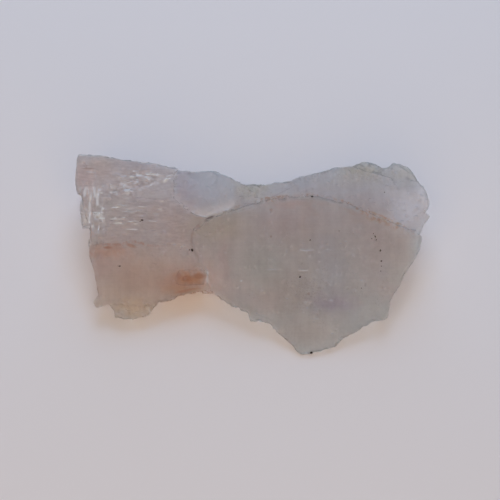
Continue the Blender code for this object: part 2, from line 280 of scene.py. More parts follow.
tones = {  # a pattern's low and high value, and how bright the stone is there
    "mottle": (0.3, 0.7, 0.92, 1.05),
    "curdle": (0.3, 0.7, 0.955, 1.035),
    "parquet": (0.3, 0.7, 0.90, 1.08),
    "upright": (0.35, 0.65, 0.95, 1.04),
    "threads": (0.3, 0.7, 0.975, 1.02),
}
bends = {"tints": (30.0, 24.0, 0.0), "seams": 4.0}  # pixels that noise moves them by
zones = {  # where a part of the stone starts and where it is whole
    "level": (0.2, 0.55),  # how much a face looks up
    "seen": (0.2, 0.45),  # how much it looks to the front and up
    "behind": (0.45, 0.8),  # how much it looks to the back
    "plateHeight": (-1.1 * mm, -0.6 * mm),
    "plateColumns": (182, 200),
    "backColumns": (168, 186),
    "backRows": (232, 205),
    "leftColumns": (204, 176),
    "leftRows": (262, 240),
}
specks = {  # tiny white points
    "counts": (1500.0, 1500.0, 1500.0),  # per metre
    "some": (0.93, 0.97),
    "gather": (0.5, 0.62),
    "strength": 0.4,
    "shade": (0.95, 0.95, 0.95),
}
# painted light: pointed edges made paler as a highlight, hollows and back-facing faces made darker
# as shade
reliefShading = {
    "edges": (0.505, 0.56),  # how pointed an edge is, and how hollow a dip
    "edgeStrength": 0.4,
    "edgeShade": (0.97, 0.97, 0.98),
    "dips": (0.495, 0.44),
    "dipShade": 0.16,
    "behindShade": 0.3,
}
tints = {  # centre and reach in frame pixels, colour, strength
    "ledgeStain": ((108, 252), (26, 9), (0.90, 0.66, 0.52), 0.85),
    "lowerBlock": ((142, 277), (64, 34), (0.87, 0.82, 0.74), 0.8),
    "lowerPink": ((100, 268), (12, 20), (0.91, 0.79, 0.76), 0.6),
    "lowerDark": ((128, 282), (20, 18), (0.82, 0.77, 0.70), 0.6),
    "aroundStain": ((182, 285), (26, 11), (0.86, 0.70, 0.56), 0.8),
    "recessStain": ((192, 277), (18, 8), (0.88, 0.64, 0.43), 1.0),
    "topCorner": ((98, 166), (40, 20), (0.82, 0.73, 0.66), 0.8),
    "blockBrown": ((166, 213), (22, 14), (0.80, 0.77, 0.73), 0.6),
    "blockGreen": ((112, 204), (24, 12), (0.84, 0.93, 0.92), 0.6),
    "blockGrey": ((144, 170), (38, 18), (0.76, 0.72, 0.72), 0.85),
    "patchLow": ((120, 190), (26, 10), (0.76, 0.76, 0.78), 0.6),
    "pinkSide": ((178, 234), (18, 18), (0.89, 0.85, 0.83), 0.6),
    "greenLip": ((134, 309), (28, 10), (1.0, 0.94, 0.80), 0.85),
    "lowerLeft": ((104, 296), (14, 12), (0.93, 0.84, 0.78), 0.6),
    "plateShade": ((332, 303), (28, 11), (0.63, 0.62, 0.71), 0.8),
    "plateBlue": ((331, 262), (20, 34), (0.73, 0.82, 0.88), 0.75),
    "plateTop": ((346, 219), (26, 22), (0.85, 0.93, 0.96), 0.65),
    "rustLeft": ((292, 203), (34, 8), (0.82, 0.73, 0.69), 0.7),
    "rustRight": ((374, 218), (32, 9), (0.84, 0.79, 0.73), 0.5),
    "plateOlive": ((216, 226), (34, 17), (0.78, 0.81, 0.70), 0.85),
    "plateMauve": ((280, 224), (26, 20), (0.78, 0.77, 0.77), 0.6),
    "plateTeal": ((262, 262), (30, 20), (0.73, 0.82, 0.81), 0.6),
    "plateDark": ((294, 292), (24, 24), (0.69, 0.69, 0.66), 0.7),
    "plateBrown": ((306, 212), (9, 30), (0.76, 0.74, 0.69), 0.5),
    "plateFoot": ((306, 334), (50, 22), (0.84, 0.82, 0.80), 0.6),
    "plateLow": ((262, 302), (26, 16), (0.82, 0.80, 0.78), 0.7),
    # the pale tint on the plate's thin lower-left rim is painted glow of light shining through it
    "plateRimGlow": ((212, 288), (14, 26), (1.0, 0.98, 0.95), 0.9),
    "plateEdge": ((224, 262), (8, 30), (0.78, 0.74, 0.75), 0.6),
    "plateRight": ((374, 250), (22, 44), (0.84, 0.87, 0.88), 0.7),
    "rightStrip": ((404, 256), (14, 34), (0.95, 0.97, 0.94), 0.9),
    "backLight": ((410, 212), (22, 26), (1, 1, 1), 1.0),
    "backFar": ((424, 206), (10, 30), (1, 1, 1), 0.9),
    "backOlive": ((350, 182), (34, 9), (0.75, 0.77, 0.74), 0.6),
    "backPale": ((300, 184), (26, 10), (0.76, 0.79, 0.82), 0.5),
    # the white tint at the left edge is painted light on the shaded steep wall
    "leftEdgeLight": ((84, 221), (13, 30), (1, 1, 1), 0.9),
    "leftTop": ((83, 180), (12, 22), (0.89, 0.78, 0.76), 0.7),
    "plateHeel": ((231, 292), (16, 12), (0.93, 0.91, 0.90), 0.6),
    "plateCorner": ((389, 290), (14, 14), (0.96, 0.94, 0.92), 0.6),
    "knobs": ((362, 170), (24, 11), (0.79, 0.78, 0.68), 0.9),
    "knobRight": ((404, 172), (20, 12), (0.81, 0.81, 0.75), 0.8),
    "saddle": ((250, 189), (24, 11), (0.80, 0.82, 0.74), 0.9),
}
undersides = {  # the same for the stain below the recess and the left block
    "recess": ((184, 288), (34, 20), (0.84, 0.50, 0.30), 0.9),
    "block": ((140, 300), (64, 24), (0.92, 0.72, 0.58), 0.25),
}
marks = {  # small crisp marks: centre and reach in frame pixels, turn, colour, strength
    # the dark mark in the deep gap between the saddle face and the plate is painted shade
    "gapShade": ((210, 217.5), (5.5, 1.2), -22, (0.16, 0.13, 0.12), 1),
    "darkSlit": ((88, 168.5), (7, 1.1), 0, (0.40, 0.30, 0.24), 0.7),
    "rustLeft": ((108, 247.5), (4.5, 1.5), 0, (0.52, 0.28, 0.17), 0.8),
    "rustRight": ((131, 245.5), (6, 2), 20, (0.56, 0.34, 0.22), 0.7),
    "stainRight": ((199, 276), (7.5, 3.4), 0, (0.52, 0.28, 0.14), 0.7),
    "stainMiddle": ((187, 278.5), (6.5, 3.4), 0, (0.60, 0.32, 0.17), 0.6),
    "stainLeft": ((179, 276), (3, 4), 0, (0.56, 0.33, 0.22), 0.6),
    "stainFoot": ((187, 290.5), (13, 1.6), -10, (0.62, 0.36, 0.24), 0.6),
    "spotArcLeft": ((271, 210), (2, 1.8), 0, (0.50, 0.40, 0.34), 0.7),
    "spotArcMiddle": ((357, 208.5), (2, 1.6), 0, (0.44, 0.27, 0.18), 0.8),
    "spotArcRight": ((378.5, 219.5), (2.2, 1.8), 0, (0.48, 0.29, 0.18), 0.8),
    "spotPlateHigh": ((271, 236.5), (1.4, 1.4), 0, (0.44, 0.38, 0.34), 0.7),
    "spotPlateLow": ((308.5, 293.5), (1.8, 1.6), 0, (0.42, 0.34, 0.30), 0.7),
    "arcDark": ((352, 212), (9, 3), 28, (0.58, 0.50, 0.44), 0.35),
    "footGleam": ((196, 291), (10, 2.2), -6, (0.92, 0.92, 0.82), 0.7),
    "backGroove": ((282, 192), (16, 0.9), -27, (0.52, 0.53, 0.56), 0.5),
    # the grey mark where a small notch lies in the back edge is painted shade
    "notchShade": ((300, 178.5), (3, 1.2), 60, (0.45, 0.45, 0.46), 0.5),
}
glintMarks = {  # painted highlights: thin white glints on ledges, steps and rims: centre, reach, turn, strength
    "rim": ((207.5, 277), (1.2, 9), 0, 0.5),
    "plateLineTop": ((306.5, 250.5), (7, 0.7), 0, 0.55),
    "plateLineLeft": ((272, 269.6), (6.5, 0.7), 2, 0.4),
    "plateLineLow": ((304, 270.6), (5.5, 0.7), 0, 0.4),
    "plateSpotHigh": ((331, 300), (2.2, 0.8), 0, 0.5),
    "plateSpotMiddle": ((307, 307.5), (1.3, 1.1), 0, 0.6),
    "plateSpotLeft": ((310, 303), (2.4, 0.8), -15, 0.5),
    "plateSpotLow": ((315, 318.5), (5, 0.8), 4, 0.35),
    "plateSpotRight": ((384, 287), (1.8, 1.2), -20, 0.35),
    "streakLong": ((153, 174.4), (10, 0.9), 2, 0.75),
    "streakHigh": ((148, 172.3), (7, 0.7), 2, 0.35),
    "blockSpotRight": ((165.5, 180.5), (3.8, 1.6), -20, 0.85),
    "blockSpotLow": ((139.5, 189.5), (2.4, 1.3), 0, 0.6),
    "blockSpotLeft": ((112.5, 186.5), (1.8, 1.1), 0, 0.6),
    "blockSpotTop": ((157, 166), (1, 1.8), 0, 0.5),
    "blockSpotSide": ((163, 168.5), (0.9, 1.6), 0, 0.4),
    "lineHigh": ((118, 219.3), (6, 0.7), 2, 0.65),
    "lineLeft": ((119, 223.6), (6.5, 0.7), 0, 0.7),
    "lineRight": ((135, 224), (4.5, 0.8), 0, 0.75),
    "lineLow": ((134, 229.3), (6, 0.7), 0, 0.5),
    "topSquiggle": ((91, 172), (5.5, 0.8), 6, 0.5),
    "stepSpot": ((87.5, 220), (3, 2.2), 10, 0.6),
    "seamSpotMiddle": ((174.5, 244.5), (2.2, 1), 0, 0.7),
    "seamSpotRight": ((187, 249.5), (1, 1.2), 0, 0.6),
    "seamSpotLeft": ((165, 244.5), (1.4, 0.8), 0, 0.4),
    "middleLine": ((212, 212.4), (8, 0.7), -12, 0.6),
}
crisp = {"marks": 0.6, "glintMarks": 0.5}  # how soft their borders are
glitter = {  # painted highlights: white dashes for the glints of level steps on the left block, darker dashes between them, and bright upright bars at its left edge
    "patches": [((140, 178), (30, 11)), ((124, 189), (22, 8))],
    "soft": 0.7,
    "uneven": 0.45,
    "brightDashes": (0.58, 0.86),
    "dashWhite": 0.72,
    "dimDashes": (0.42, 0.30),
    "dashDark": 2.4,
    "barColumns": ((73, 79), (107, 101)),
    "barRows": ((184, 190), (236, 230)),
    "brightBars": (0.62, 0.8),
    "barWhite": 0.62,
    "dimBars": (0.35, 0.25),
    "shade": 0.1,
}
# the cloudy patch on the back plate
haze = {"centre": (406, 214), "reach": (22, 22), "white": 0.3}
flecked = {  # clusters of tiny dark and white flecks
    "wide": [((305, 290), (30, 24)), ((372, 174), (34, 11)), ((250, 191), (22, 10))],
    "small": [(250, 294), (358, 292), (378, 300), (383, 286), (351, 231), (325, 269), (322, 325)],
    "smallReach": (6, 6),
    "dark": (0.46, 0.36),
    "darkShade": 0.24,
    "white": (0.58, 0.66),
    "whiteStrength": 0.36,
}
arcSeam = {  # the back edge of the front plate, as frame points
    "points": [(188, 236), (197, 227), (210, 218), (230, 210), (247, 203.5), (268, 198.5)]
    + [(290, 196), (310, 195), (325, 197), (345, 202), (357, 207), (372, 213), (385, 218)]
    + [(400, 225), (421, 235)],
    "ends": ((190, 200), (419, 412)),  # columns
    "rust": ((-3.0, -0.5), (11.0, 1.0)),  # rows below the seam
    "rustCrumbs": (0.4, 0.62, 0.2, 1.0),
    "rustPatches": (0.36, 0.6, 0.15, 1.0),
    "stained": [((284, 201), (40, 16)), ((374, 218), (46, 20))],
    "unstained": 0.3,  # how much rust there is elsewhere
    "rustMix": (0.42, 0.58),
    "rustShades": ((0.70, 0.68, 0.45), (0.76, 0.51, 0.34)),
    "rustWhite": 0.45,
    "rustScatter": (0.1, 0.4),
    # the thin line: grey and brown crumbs, partly painted shadow along the plate's back edge
    "line": ((-2.2, -0.4), (2.4, 0.2)),
    "lineCrumbs": (0.45, 0.6),
    "linePatches": (0.3, 0.55, 0.3, 1.0),
    "lineTurn": (320, 345),  # columns where it turns from grey to brown
    "lineShades": ((0.46, 0.39, 0.34), (0.66, 0.46, 0.32)),
    "lineStrength": 0.5,
}
sideSeam = {  # the left edge of the front plate, as row, then column
    "points": [(210, 240), (214, 217), (219, 207), (226, 197), (236, 192), (246, 192.5)]
    + [(258, 198), (270, 206), (282, 211.5), (300, 222)],
    "wobble": 0.6,
    "ends": ((217, 222), (298, 280)),  # rows
    "line": ((-2.2, -0.3), (1.6, 0.1)),  # columns right of the seam
    "lineCrumbs": (0.35, 0.5, 0.2, 0.75),
    "lineFade": (268, 244, 0.15, 1.0),
    "lineShade": (0.55, 0.50, 0.45),
    "margin": ((0.5, 2.0), (9.0, 3.0)),
    "marginCrumbs": (0.3, 0.6, 0.3, 0.9),
    "marginRows": (246, 262),
    "marginShade": (0.93, 0.88, 0.86),
    "marginStrength": 0.6,
}
middleSeam = {  # the lower rim of the smooth face in the saddle
    "points": [(170, 194), (176, 201), (184, 208), (194, 213.5), (204, 216.5), (214, 214)]
    + [(226, 210.5), (238, 203)],
    "wobble": 0.4,
    "ends": ((170, 178), (238, 230)),  # columns
    "face": (0.0, 3.0),  # rows above the seam
    "faceEnd": (174, 179),
    "faceTurn": (180, 210),  # columns where it turns from violet to blue
    "faceShades": ((0.73, 0.73, 0.79), (0.79, 0.88, 0.94)),
    "faceStrength": 0.75,
    "rim": ((-0.6, 0.8), (12.0, 1.5)),
    "rimCrumbs": (0.3, 0.5, 0.5, 1.0),
    "rimShade": (1, 1, 1),
    "rimWhite": (178, 204, 0.08, 0.26),
    "line": ((-0.9, 0.2), (1.8, 0.8)),
    "lineEnd": (186, 202),
    "lineCrumbs": (0.35, 0.5, 0.3, 1.0),
    "lineWhite": 0.5,
}
ledgeSeam = {  # where the left block steps down to the lower one
    "points": [(86, 250), (96, 245), (106, 244), (120, 243.5), (133, 241), (146, 244), (172, 246)],
    "wobble": 0.6,
    "ends": ((88, 98), (172, 140)),  # columns
    "line": ((-1.0, 0.2), (3.2, 1.0)),  # rows below the seam
    "lineCrumbs": (0.4, 0.6),
    "lineShade": (0.62, 0.40, 0.30),
    "lineStrength": 0.7,
}


def blob(graph, spot, centre, reach, soft=0.9, turn=0):  # 1 inside a soft oval, 0 outside
    away = graph.vector("SUBTRACT", spot, (*centre, 0.0))
    angle = math.radians(turn)
    along = graph.dot(away, (math.cos(angle) / reach[0], math.sin(angle) / reach[0], 0.0))
    across = graph.dot(away, (-math.sin(angle) / reach[1], math.cos(angle) / reach[1], 0.0))
    far = (along * along + across * across) ** 0.5
    return graph.ease(far, 1.0 - soft, 1.0 + 0.4 * soft, 1.0, 0.0)


def blobs(graph, spot, ovals, soft=0.9):  # 1 inside any of the soft ovals
    masks = [blob(graph, spot, centre, reach, soft) for centre, reach in ovals]
    whole = masks[0]
    for mask in masks[1:]:
        whole = whole.most(mask)
    return whole


def readStone(graph):  # where each point lies, which way it faces, and shared noise
    at = SimpleNamespace()
    at.place = graph.add("ShaderNodeTexCoord", output="Object")
    at.surface = graph.add("ShaderNodeNewGeometry", output="Normal")
    at.column = graph.dot(at.place, (1 / view["pixel"], 0, 0)) + frameColumn(0)
    at.row = frameRow(0) - graph.dot(at.place, tuple(upFrame / view["pixel"]))
    depth = graph.dot(at.place, tuple(towardsCamera / view["pixel"]))
    at.flat = graph.add("ShaderNodeCombineXYZ", {}, {0: at.column, 1: at.row, 2: depth})
    drift = graph.noise(at.place, *patterns["drift"], output="Color")
    drift = graph.vector("SUBTRACT", drift, (0.5, 0.5, 0.5))
    at.spot = graph.vector("ADD", at.flat, graph.vector("MULTIPLY", drift, bends["tints"]))
    at.seen = graph.ease(graph.dot(at.surface, tuple(towardsCamera)), *zones["seen"])
    at.upper = graph.ease(graph.dot(at.surface, (0, 0, 1)), *zones["level"]) * at.seen
    at.crumbs = graph.noise(at.place, *patterns["crumbs"])
    at.patches = graph.noise(at.place, *patterns["patches"])
    at.wobble = (graph.noise(at.place, *patterns["wobble"]) - 0.5) * bends["seams"]
    return at


def paintZones(graph, at):  # the stone's own colour, its broad face and its tints
    back = graph.ease(at.row, *zones["backRows"]) * graph.ease(at.column, *zones["backColumns"])
    colour = graph.blend(back, fluorite["pale"], fluorite["blue"])
    above = graph.dot(at.place, plateNormal) - plate["height"]
    onPlate = graph.ease(above, *zones["plateHeight"])
    onPlate = onPlate * graph.ease(at.column, *zones["plateColumns"])
    colour = graph.blend(onPlate, colour, fluorite["warm"])
    for centre, reach, tint, strength in tints.values():
        mask = blob(graph, at.spot, centre, reach) * strength
        colour = graph.blend(mask, colour, tint)
    for centre, reach, tint, strength in undersides.values():
        mask = blob(graph, at.flat, centre, reach) * (1 - at.seen) * strength
        colour = graph.blend(mask, colour, tint)
    return colour


def paintGrowth(graph, at, colour):  # mottling, fine layers and threads, white specks
    mottle = graph.noise(at.place, *patterns["mottle"])
    colour = graph.scaled(colour, graph.ease(mottle, *tones["mottle"]))
    curdle = graph.noise(at.place, *patterns["curdle"])
    colour = graph.scaled(colour, graph.ease(curdle, *tones["curdle"]))
    blocks = graph.cells(at.flat, weave["blocks"])
    fine = graph.waves(at.flat, weave["fine"])
    parquet = graph.ease(blocks * 0.5 + fine * 0.5, *tones["parquet"])
    bands = graph.ease(graph.waves(at.flat, weave["upright"]), *tones["upright"])
    threads = graph.waves(at.flat, weave["threads"], 2.0)
    bands = bands * graph.ease(threads, *tones["threads"])
    onLeft = graph.ease(at.column, *zones["leftColumns"]) * graph.ease(at.row, *zones["leftRows"])
    colour = graph.scaled(colour, bands + (parquet - bands) * onLeft)
    some = graph.ease(graph.cells(at.place, specks["counts"]), *specks["some"])
    some = some * graph.ease(graph.noise(at.place, *patterns["dust"]), *specks["gather"])
    return graph.blend(some * specks["strength"], colour, specks["shade"])


def findGlitter(graph, at):  # painted highlights: how white the glinting dashes, bars and fine lines are, and how dark the dashes between them are
    patch = blobs(graph, at.spot, glitter["patches"], glitter["soft"]) * at.seen
    dashes = graph.cells(at.flat, weave["dashes"], glitter["uneven"])
    bright = graph.ease(dashes, *glitter["brightDashes"]) * patch * glitter["dashWhite"]
    dim = graph.ease(dashes, *glitter["dimDashes"]) * patch * glitter["dashDark"]
    onBars = graph.between(at.column, *glitter["barColumns"])
    onBars = onBars * graph.between(at.row, *glitter["barRows"]) * at.upper
    bars = graph.cells(at.flat, weave["bars"])
    bright = bright.most(graph.ease(bars, *glitter["brightBars"]) * onBars * glitter["barWhite"])
    dim = dim.most(graph.ease(bars, *glitter["dimBars"]) * onBars)
    for centre, reach, turn, strength in glintMarks.values():
        mark = blob(graph, at.flat, centre, reach, crisp["glintMarks"], turn)
        bright = bright.most(mark * at.seen * strength)
    return bright, dim


def paintReliefShading(graph, at, colour):  # painted highlight on pointed edges, painted shade in hollows and on the steep faces that look to the back
    point = at.surface.out("Pointiness")
    edges = graph.ease(point, *reliefShading["edges"]) * reliefShading["edgeStrength"]
    colour = graph.blend(edges, colour, reliefShading["edgeShade"])
    dips = graph.ease(point, *reliefShading["dips"])
    colour = graph.scaled(colour, 1 - dips * reliefShading["dipShade"])
    behind = graph.ease(graph.dot(at.surface, tuple(upFrame)), *zones["behind"])
    return graph.scaled(colour, 1 - behind * reliefShading["behindShade"])


def readArc(graph, at):  # masks of the rusty band, and of the thin line of crumbs and painted shadow along the plate's back edge
    below = at.row - graph.path(at.column, arcSeam["points"]) + at.wobble
    along = graph.between(at.column, *arcSeam["ends"]) * at.upper
    stained = blobs(graph, at.flat, arcSeam["stained"])
    stained = stained * (1 - arcSeam["unstained"]) + arcSeam["unstained"]
    rust = graph.between(below, *arcSeam["rust"]) * along
    rust = rust * graph.ease(at.crumbs, *arcSeam["rustCrumbs"])
    rust = rust * (graph.ease(at.patches, *arcSeam["rustPatches"]) * stained)
    line = graph.between(below, *arcSeam["line"]) * along
    line = line * graph.ease(at.crumbs, *arcSeam["lineCrumbs"])
    line = line * graph.ease(at.patches, *arcSeam["linePatches"])
    return rust, line


def paintRust(graph, at, colour, rust):
    mix = graph.ease(graph.noise(at.place, *patterns["rust"]), *arcSeam["rustMix"])
    return graph.blend(rust, colour, graph.blend(mix, *arcSeam["rustShades"]))


# the thin line along the plate's back edge: crumbs, partly painted shadow
def paintArcLine(graph, at, colour, line):
    turn = graph.ease(at.column, *arcSeam["lineTurn"])
    shade = graph.blend(turn, *arcSeam["lineShades"])
    return graph.blend(line * arcSeam["lineStrength"], colour, shade)


def paintSide(graph, at, colour):  # a dark line and a pale margin down the plate's left edge
    beside = at.column - graph.path(at.row, sideSeam["points"]) + at.wobble * sideSeam["wobble"]
    along = graph.between(at.row, *sideSeam["ends"]) * at.upper
    line = graph.between(beside, *sideSeam["line"]) * along
    line = line * graph.ease(at.crumbs, *sideSeam["lineCrumbs"])
    line = line * graph.ease(at.row, *sideSeam["lineFade"])
    colour = graph.blend(line, colour, sideSeam["lineShade"])
    margin = graph.between(beside, *sideSeam["margin"]) * along
    margin = margin * graph.ease(at.row, *sideSeam["marginRows"])
    margin = margin * graph.ease(at.crumbs, *sideSeam["marginCrumbs"])
    return graph.blend(margin * sideSeam["marginStrength"], colour, sideSeam["marginShade"])


def paintMiddle(graph, at, colour):  # the smooth face in the saddle, and how white its rim is
    seam = middleSeam
    inside = graph.path(at.column, seam["points"]) - at.row + at.wobble * seam["wobble"]
    along = graph.between(at.column, *seam["ends"]) * at.upper
    shade = graph.blend(graph.ease(at.column, *seam["faceTurn"]), *seam["faceShades"])
    face = graph.ease(inside, *seam["face"]) * graph.ease(at.column, *seam["faceEnd"]) * along
    colour = graph.blend(face * seam["faceStrength"], colour, shade)
    rim = graph.between(inside, *seam["rim"]) * along * graph.ease(at.crumbs, *seam["rimCrumbs"])
    colour = graph.blend(rim, colour, seam["rimShade"])
    line = graph.between(inside, *seam["line"]) * along
    line = line * graph.ease(at.column, *seam["lineEnd"])
    line = line * graph.ease(at.crumbs, *seam["lineCrumbs"])
    rim = rim * graph.ease(at.column, *seam["rimWhite"])
    return colour, (line * seam["lineWhite"]).most(rim)


def paintFlecks(graph, at, colour):  # also tells how white the flecks are
    small = [(centre, flecked["smallReach"]) for centre in flecked["small"]]
    where = blobs(graph, at.spot, flecked["wide"]).most(blobs(graph, at.flat, small))
    fleck = graph.noise(at.place, *patterns["fleck"])
    dark = where * graph.ease(fleck, *flecked["dark"])
    colour = graph.scaled(colour, 1 - dark * flecked["darkShade"])
    return colour, where * graph.ease(fleck, *flecked["white"]) * flecked["whiteStrength"]


def paintMarks(graph, at, colour):  # the ledge's rusty lip and every small mark
    below = at.row - graph.path(at.column, ledgeSeam["points"]) + at.wobble * ledgeSeam["wobble"]
    lip = graph.between(below, *ledgeSeam["line"])
    lip = lip * (graph.between(at.column, *ledgeSeam["ends"]) * at.upper)
    lip = lip * graph.ease(at.crumbs, *ledgeSeam["lineCrumbs"]) * ledgeSeam["lineStrength"]
    colour = graph.blend(lip, colour, ledgeSeam["lineShade"])
    for centre, reach, turn, tint, strength in marks.values():
        mask = blob(graph, at.flat, centre, reach, crisp["marks"], turn) * at.upper * strength
        colour = graph.blend(mask, colour, tint)
    return colour


def makeFluorite():
    material, graph = newMaterial("fluorite")
    at = readStone(graph)
    bright, dim = findGlitter(graph, at)
    rust, line = readArc(graph, at)
    colour = paintGrowth(graph, at, paintZones(graph, at))
    colour = graph.scaled(colour, 1 - dim * glitter["shade"])
    colour = paintReliefShading(graph, at, colour)
    colour = paintRust(graph, at, colour, rust)
    colour = paintSide(graph, at, colour)
    colour = paintArcLine(graph, at, colour, line)
    colour, rimWhite = paintMiddle(graph, at, colour)
    colour, fleckWhite = paintFlecks(graph, at, colour)
    colour = paintMarks(graph, at, colour)

    hazy = blob(graph, at.spot, haze["centre"], haze["reach"])
    # the frosted white mix: painted glint highlights, plus the saddle rim, cloudy haze, white
    # flecks and rust
    white = bright.most(rimWhite).most(hazy * haze["white"]).most(fleckWhite)
    white = white.most(rust * arcSeam["rustWhite"]) * at.seen
    scatter = graph.blend(hazy, fluorite["frosted"], fluorite["hazy"])
    rusty = graph.ease(rust, *arcSeam["rustScatter"])
    scatter = graph.blend(rusty, scatter, fluorite["rust"])

    frost = graph.noise(at.place, *patterns["frost"])
    values = {"Height": frost, "Distance": fluorite["bump"], "Strength": fluorite["bumpStrength"]}
    bump = graph.add("ShaderNodeBump", {}, values)
    grain = graph.noise(at.place, *patterns["grain"])
    clear = graph.add(
        "ShaderNodeBsdfPrincipled",
        {},
        {
            "Base Color": colour,
            "Roughness": graph.ease(grain, *fluorite["rough"]),
            "IOR": fluorite["ior"],
            "Transmission Weight": fluorite["transmission"],
            "Coat Weight": graph.ease(grain, *fluorite["coat"]).most(bright),
            "Coat Roughness": fluorite["gloss"],
            "Coat IOR": fluorite["ior"],
            "Normal": bump,
        },
    )
    values = {"Base Color": scatter, "Roughness": fluorite["frostedRough"], "Normal": bump}
    frosted = graph.add("ShaderNodeBsdfPrincipled", {}, values)
    shader = graph.add("ShaderNodeMixShader", {}, {0: white, 1: clear, 2: frosted})
    values = {"Color": fluorite["absorptionColour"], "Density": fluorite["absorption"]}
    absorb = graph.add("ShaderNodeVolumeAbsorption", {}, values)
    graph.add("ShaderNodeOutputMaterial", {}, {"Surface": shader, "Volume": absorb})
    print("fluorite ready:", len(material.node_tree.nodes), "shader nodes")
    return material


# near-white and nearly opaque: a painted highlight that stands for the glints of the level step
# crystals
stepFinish = {
    "colour": (0.90, 0.94, 1.0),
    "transmission": 0.12,
    "roughness": 0.2,
}


def makeStepFinish():
    material, graph = newMaterial("glinting fluorite steps")
    shader = graph.add(
        "ShaderNodeBsdfPrincipled",
        {},
        {
            "Base Color": stepFinish["colour"],
            "Roughness": stepFinish["roughness"],
            "IOR": fluorite["ior"],
            "Transmission Weight": stepFinish["transmission"],
        },
    )
    graph.add("ShaderNodeOutputMaterial", {}, {"Surface": shader})
    return material


growth = {  # small crystals that crowd a patch of the surface, sizes in millimetres
    "laths": {
        "centre": (144, 202), "reach": (55, 50), "perSquare": 0.9, "patchy": 1.0,
        "low": (0.4, 0.2, 0.2), "high": (2.4, 0.45, 0.55), "tilt": 16.0, "wander": 6.0,
    },
    "flutes": {
        "centre": (90, 214), "reach": (16, 38), "perSquare": 1.6, "patchy": 0.5,
        "low": (0.25, 1.2, 0.25), "high": (0.6, 2.6, 0.6), "tilt": 22.5, "wander": 4.0,
    },
    "rubble": {
        "centre": (250, 190), "reach": (20, 13), "perSquare": 2.0, "patchy": 0.8,
        "low": (0.25, 0.25, 0.15), "high": (0.9, 0.6, 0.5), "tilt": 12.0, "wander": 60.0,
    },
    "knobGrains": {
        "centre": (366, 172), "reach": (26, 12), "perSquare": 2.2, "patchy": 0.8,
        "low": (0.25, 0.25, 0.15), "high": (0.9, 0.8, 0.6), "tilt": 12.0, "wander": 60.0,
    },
    "rightGrains": {
        "centre": (420, 200), "reach": (14, 40), "perSquare": 0.9, "patchy": 1.0,
        "low": (0.25, 0.25, 0.15), "high": (0.9, 0.7, 0.45), "tilt": 12.0, "wander": 60.0,
    },
    "lipCrumbs": {
        "centre": (134, 306), "reach": (30, 8), "perSquare": 2.2, "patchy": 0.6,
        "low": (0.3, 0.3, 0.2), "high": (1.1, 0.8, 0.8), "tilt": 12.0, "wander": 40.0,
    },
    "sideCrumbs": {
        "centre": (198, 250), "reach": (10, 36), "perSquare": 1.2, "patchy": 1.0,
        "low": (0.25, 0.25, 0.2), "high": (0.7, 0.8, 0.6), "tilt": 12.0, "wander": 40.0,
    },
    "recessRibs": {
        "centre": (192, 276), "reach": (9, 8), "perSquare": 1.6, "patchy": 0.6,
        "low": (0.3, 0.5, 0.4), "high": (0.8, 1.8, 1.2), "tilt": 22.5, "wander": 8.0,
    },
    "plateLumps": {
        "centre": (308, 288), "reach": (92, 58), "perSquare": 0.04, "patchy": 1.2,
        "low": (0.3, 0.25, 0.3), "high": (0.9, 0.6, 0.6), "tilt": 24.0, "wander": 25.0,
    },
}
curds = {  # rough little clusters of one kind: frame column and row, reach across and up
    "patches": [
        (250, 294, 6, 6), (316, 305, 7, 11), (359, 293, 6, 6), (378, 300, 7, 6), (383, 286, 5, 5),
        (351, 231, 5, 4), (325, 269, 5, 6), (322, 325, 7, 7), (272, 237, 4, 4), (340, 282, 6, 6),
        (286, 303, 10, 10), (305, 283, 7, 16), (218, 272, 5, 18), (310, 222, 6, 16),
        (131, 246, 8, 4), (108, 248, 5, 3), (186, 248, 9, 4), (374, 238, 5, 5), (222, 213, 9, 3),
        (240, 206, 9, 3), (262, 200, 10, 3), (290, 196.5, 10, 3), (318, 197, 8, 3),
        (340, 202, 8, 3), (362, 210, 8, 3), (385, 219, 9, 4), (404, 228, 9, 4), (184, 209, 6, 3),
        (204, 217, 6, 2),
    ],
    "kind": {
        "perSquare": 3.0, "patchy": 0.6,
        "low": (0.15, 0.15, 0.15), "high": (0.55, 0.45, 0.5), "tilt": 24.0, "wander": 40.0,
    },
}
sparkles = {  # the same for bright level crystals that stay crisp
    "patchHigh": {
        "centre": (137, 178), "reach": (20, 8), "perSquare": 1.3, "patchy": 0.8,
        "low": (0.15, 0.08, 0.2), "high": (0.6, 0.15, 0.38), "tilt": 4.0, "wander": 0.5,
    },
    "patchLow": {
        "centre": (120, 190), "reach": (18, 7), "perSquare": 1.3, "patchy": 0.8,
        "low": (0.15, 0.08, 0.2), "high": (0.6, 0.16, 0.38), "tilt": 4.0, "wander": 0.5,
    },
    "patchRight": {
        "centre": (158, 178), "reach": (16, 10), "perSquare": 1.2, "patchy": 1.2,
        "low": (0.15, 0.08, 0.2), "high": (0.8, 0.17, 0.42), "tilt": 4.0, "wander": 0.5,
    },
    "block": {
        "centre": (130, 214), "reach": (36, 16), "perSquare": 0.45, "patchy": 1.2,
        "low": (0.3, 0.06, 0.2), "high": (1.8, 0.14, 0.34), "tilt": 3.0, "wander": 1.5,
    },
    "edge": {
        "centre": (90, 214), "reach": (12, 26), "perSquare": 0.3, "patchy": 1.2,
        "low": (0.1, 0.4, 0.2), "high": (0.25, 1.6, 0.38), "tilt": 16.0, "wander": 2.0,
    },
    "seam": {
        "centre": (178, 246), "reach": (18, 5), "perSquare": 0.4, "patchy": 0.8,
        "low": (0.15, 0.1, 0.2), "high": (0.7, 0.25, 0.42), "tilt": 6.0, "wander": 6.0,
    },
    "plate": {
        "centre": (302, 285), "reach": (100, 60), "perSquare": 0.03, "patchy": 1.2,
        "low": (0.15, 0.08, 0.2), "high": (0.7, 0.16, 0.4), "tilt": 5.0, "wander": 6.0,
    },
}
